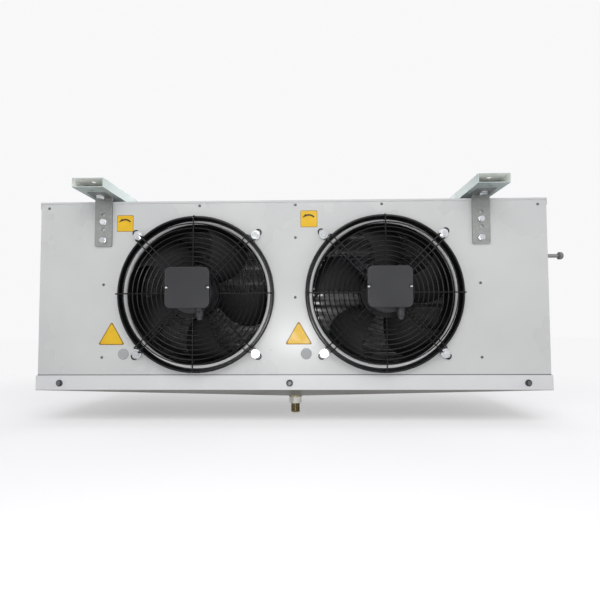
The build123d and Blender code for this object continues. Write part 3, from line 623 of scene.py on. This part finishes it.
def rounded(corners, radius, steps=4):
    """The outline through the corners, each one rounded by a short arc."""
    outline = []
    count = len(corners)
    for index, corner in enumerate(corners):
        here = Vector(corner)
        before = (Vector(corners[index - 1]) - here).normalized()
        after = (Vector(corners[(index + 1) % count]) - here).normalized()
        half = before.angle(after) / 2
        centre = here + (before + after).normalized() * radius / math.sin(half)
        start = here + before * radius / math.tan(half) - centre
        turn = math.pi - 2 * half
        for k in range(steps + 1):
            outline.append(tuple(centre + Matrix.Rotation(turn * k / steps, 2) @ start))
    return outline


def arrow_outline():
    """An arc with a head at its left end, like a turning arrow."""
    def arc(radius, start, end, steps=10):
        angles = [math.radians(start + (end - start) * k / steps) for k in range(steps + 1)]
        return [(radius * math.cos(a), radius * math.sin(a) - 9) for a in angles]

    head = [(-8.6, 11.6), (-17.2, 0.6), (-10.8, 3.6)]
    return arc(19.5, 40, 112) + head + arc(15.5, 112, 42)


SQUARE_LAYERS = (("label_edge", 21.6, 0.0, 0.25), ("yellow", 20.4, 0.25, 0.1))
TRIANGLE_LAYERS = (("label_edge", 0.0, 0.0, 0.25), ("yellow", 2.4, 0.25, 0.1))
TRIANGLE_HEIGHT = 60

labels = {"label_edge": bmesh.new(), "yellow": bmesh.new(), "print": bmesh.new()}
for x, below in ((-429.6, 56.9), (47.2, 49.0)):
    for colour_name, half, low, thick in SQUARE_LAYERS:
        square = rounded([(half, half), (-half, half), (-half, -half), (half, -half)], 3)
        place = panel_place(x * MM, below * MM, low * MM)
        add_to(labels[colour_name], plate(square, thick, place))
    place = panel_place(x * MM, (below - 1.5) * MM, 0.35 * MM)
    add_to(labels["print"], plate(arrow_outline(), 0.1, place))
for apex, below, half in ((-461, 311, 34.5), (20, 311, 35.0)):
    for colour_name, inset, low, thick in TRIANGLE_LAYERS:
        tall = TRIANGLE_HEIGHT - 3 * inset
        wide = half - inset * 1.73
        triangle = rounded([(0, tall + inset), (-wide, inset), (wide, inset)], 3)
        place = panel_place(apex * MM, (below + TRIANGLE_HEIGHT) * MM, low * MM)
        add_to(labels[colour_name], plate(triangle, thick, place))
for colour_name, mesh in labels.items():
    add_piece("labels_" + colour_name, mesh, colour_name, smooth_deg=20)
print("labels placed")

# %% [markdown]
# The outlet is a pipe thread. Ring-shaped ridges at the thread's pitch stand for its helix.

# %% Threaded outlet
def ridged(radius, depth, pitch, start, end):
    """(radius, height) points of a row of ridges that runs down from start to end."""
    points = [(radius, start)]
    height = start - pitch
    while height > end + pitch / 2:
        points += [(radius - depth, height + pitch / 2), (radius, height)]
        height -= pitch
    return points + [(radius - depth, end + 0.4), (radius - depth, end)]


DRAIN = (6, -80, -556.5)
barrel = [(10.5, 4.5), (19, 4.5), (19, 1.5), (13.6, 1.5), (13.6, -25)]
barrel += ridged(13.2, 1.1, 2.3, -25.2, -51) + [(10.5, -51)]
spigot = bmesh.new()
turned(spigot, [(r * MM, z * MM) for r, z in barrel], steps=64)
bmesh.ops.translate(spigot, verts=spigot.verts, vec=Vector(DRAIN) * MM)
add_piece("threaded_outlet", spigot, "brass", ["drain_spigot"], smooth_deg=25)
print("outlet thread turned")

# %% [markdown]
# ## Coil
# The coil's fins stand close together, and each has collars that space it from the next, so no
# bare copper shows between them. The dressed pack has twice as many fins as the solid one, 5 mm
# apart, and runs 5 mm further towards each tube sheet. One long sleeve over each tube stands for
# its row of collars. The tubes' rows and steps are the CAD part's.

# %% Fins and their collars
FIN_GAP = 5 * MM
FIN_THICK = 0.4 * MM
FINS_EACH_SIDE = 114
fins = bmesh.new()
low_corner = Vector((0, 47.5 * MM, -492.5 * MM))
high_corner = Vector((0, 221.5 * MM, -49.5 * MM))
middle = (low_corner + high_corner) / 2
size = high_corner - low_corner
for number in range(-FINS_EACH_SIDE, FINS_EACH_SIDE + 1):
    place = Matrix.Translation(middle + Vector((number * FIN_GAP, 0, 0)))
    place = place @ Matrix.Diagonal((FIN_THICK, size.y, size.z, 1))
    bmesh.ops.create_cube(fins, size=1, matrix=place)
add_piece("coil_fins", fins, "fins", ["fin_pack"], smooth_deg=20)

COIL_FRONT_Y, COIL_DEPTH, COIL_TOP_Z = 47, 175, -49.5
TUBE_ROWS, TUBES_HIGH, TUBE_STEP_Z = 3, 8, 50
COLLAR_R = 7.4 * MM
SLEEVE_LENGTH = 1150 * MM
along_x = Matrix.Rotation(math.radians(90), 4, "Y")
collars = bmesh.new()
for row in range(TUBE_ROWS):
    for step in range(TUBES_HIGH):
        y = COIL_FRONT_Y + COIL_DEPTH / TUBE_ROWS * (row + 0.5)
        z = COIL_TOP_Z - TUBE_STEP_Z / 2 * (1 + row % 2) - TUBE_STEP_Z * step
        place = Matrix.Translation(Vector((0, y, z)) * MM) @ along_x
        bmesh.ops.create_cone(collars, cap_ends=False, segments=24, radius1=COLLAR_R,
                              radius2=COLLAR_R, depth=SLEEVE_LENGTH, matrix=place)
add_piece("fin_collars", collars, "fins", smooth_deg=40)
print("fins and collars in place")

# %% [markdown]
# ## Light, floor and camera
# A big soft lamp above the camera and two weaker ones at the sides light the front evenly, one
# lights the rear, and a small one near the camera gives the glint on the panel. The floor and the
# world look white to the camera and in reflections, and the floor still takes the cooler's soft
# shadow.

# %% World and lamps
world = bpy.data.worlds.new("white_room")
bpy.context.scene.world = world
world.use_nodes = True
sky = world.node_tree
background = sky.nodes["Background"]
background.inputs["Color"].default_value = colour(250, 250, 251)
rays = sky.nodes.new("ShaderNodeLightPath")
seen = maths(sky, "MAXIMUM", rays.outputs["Is Camera Ray"], rays.outputs["Is Glossy Ray"])
seen = maths(sky, "MAXIMUM", seen, rays.outputs["Is Transmission Ray"])
sky.links.new(ramp(sky, seen, 0.0, 1.0, 0.29, 0.985), background.inputs["Strength"])


def lamp(name, where, towards, width, height, watts):
    """A soft rectangular lamp."""
    data = bpy.data.lights.new(name, "AREA")
    data.shape = "RECTANGLE"
    data.size = width
    data.size_y = height
    data.energy = watts
    made = bpy.data.objects.new(name, data)
    made.location = where
    made.rotation_euler = (Vector(towards) - Vector(where)).to_track_quat("-Z", "Y").to_euler()
    bpy.context.scene.collection.objects.link(made)


lamp("key_above", (0.1, -2.0, 1.3), (0.0, -0.2, -0.3), 2.2, 1.2, 27)
lamp("side_left", (-2.4, -1.2, 0.3), (-0.2, 0.0, -0.3), 1.0, 1.6, 9)
lamp("side_right", (2.4, -1.2, 0.3), (0.2, 0.0, -0.3), 1.0, 1.6, 11)
lamp("from_behind", (0.3, 2.0, 0.2), (0.0, 0.2, -0.2), 1.6, 1.0, 19)
lamp("flash", (-0.03, -1.45, -0.43), (0.0, 0.0, -0.3), 0.22, 0.12, 3.2)
print("lamps placed")

# %% [markdown]
# The floor is matt with a glow added. The glow keeps it pale, and the matt part takes the shadow.
# Far out only the glow is left, so the floor meets the white world without an edge. Seen from
# below, the floor is clear.

# %% Floor
FLOOR_RADIUS = 6.0
FADE_START, FADE_END = 0.95, 1.7

ground = bmesh.new()
bmesh.ops.create_circle(ground, cap_ends=True, radius=FLOOR_RADIUS, segments=96,
                        matrix=Matrix.Translation((0, 0, FLOOR_Z)))
floor_mesh = bpy.data.meshes.new("floor")
ground.to_mesh(floor_mesh)
ground.free()
floor = bpy.data.objects.new("floor", floor_mesh)
bpy.context.scene.collection.objects.link(floor)

paint = bpy.data.materials.new("white_floor")
paint.use_nodes = True
tree = paint.node_tree
tree.nodes.clear()
matt = node(tree, "BsdfDiffuse", Color=colour(225, 225, 227))
near_glow = node(tree, "Emission", Color=colour(250, 250, 251), Strength=0.42)
far_glow = node(tree, "Emission", Color=colour(250, 250, 251), Strength=0.97)
below = tree.nodes.new("ShaderNodeBsdfTransparent")
lit = tree.nodes.new("ShaderNodeAddShader")
tree.links.new(matt.outputs[0], lit.inputs[0])
tree.links.new(near_glow.outputs[0], lit.inputs[1])
length = tree.nodes.new("ShaderNodeVectorMath")
length.operation = "LENGTH"
tree.links.new(tree.nodes.new("ShaderNodeTexCoord").outputs["Object"], length.inputs[0])
far = ramp(tree, length.outputs["Value"], FADE_START, FADE_END)
spread = tree.nodes.new("ShaderNodeMixShader")
tree.links.new(far, spread.inputs[0])
tree.links.new(lit.outputs[0], spread.inputs[1])
tree.links.new(far_glow.outputs[0], spread.inputs[2])
plain = node(tree, "BsdfDiffuse", Color=colour(225, 225, 226))
rays = tree.nodes.new("ShaderNodeLightPath")
seen = maths(tree, "MAXIMUM", rays.outputs["Is Camera Ray"], rays.outputs["Is Glossy Ray"])
for_lamps = tree.nodes.new("ShaderNodeMixShader")
tree.links.new(seen, for_lamps.inputs[0])
tree.links.new(plain.outputs[0], for_lamps.inputs[1])
tree.links.new(spread.outputs[0], for_lamps.inputs[2])
two_sided = tree.nodes.new("ShaderNodeMixShader")
tree.links.new(tree.nodes.new("ShaderNodeNewGeometry").outputs["Backfacing"], two_sided.inputs[0])
tree.links.new(for_lamps.outputs[0], two_sided.inputs[1])
tree.links.new(below.outputs[0], two_sided.inputs[2])
tree.links.new(two_sided.outputs[0], tree.nodes.new("ShaderNodeOutputMaterial").inputs["Surface"])
floor.data.materials.append(paint)
print("floor at", FLOOR_Z)

# %% [markdown]
# The camera looks almost straight at the fans, a little upwards, from about a metre away, which
# is why the rails' undersides show.

# %% Camera
def camera_turn(yaw_deg, pitch_deg, roll_deg):
    """Rotation of a camera that looks along +Y at rest."""
    yaw = Matrix.Rotation(math.radians(-yaw_deg), 3, "Z")
    pitch = Matrix.Rotation(math.radians(90 + pitch_deg), 3, "X")
    roll = Matrix.Rotation(math.radians(roll_deg), 3, "Z")
    return yaw @ pitch @ roll


camera_data = bpy.data.cameras.new("camera")
camera_data.lens = 25.8
camera_data.sensor_width = 36
camera_data.clip_start = 0.05
camera = bpy.data.objects.new("camera", camera_data)
bpy.context.scene.collection.objects.link(camera)
camera.location = (0.0492, -1.3309, -0.3433)
camera.rotation_euler = camera_turn(-1.34, 2.60, -0.22).to_euler()
bpy.context.scene.camera = camera
bpy.context.scene.view_settings.view_transform = "Standard"
print("camera at", tuple(round(v, 3) for v in camera.location))
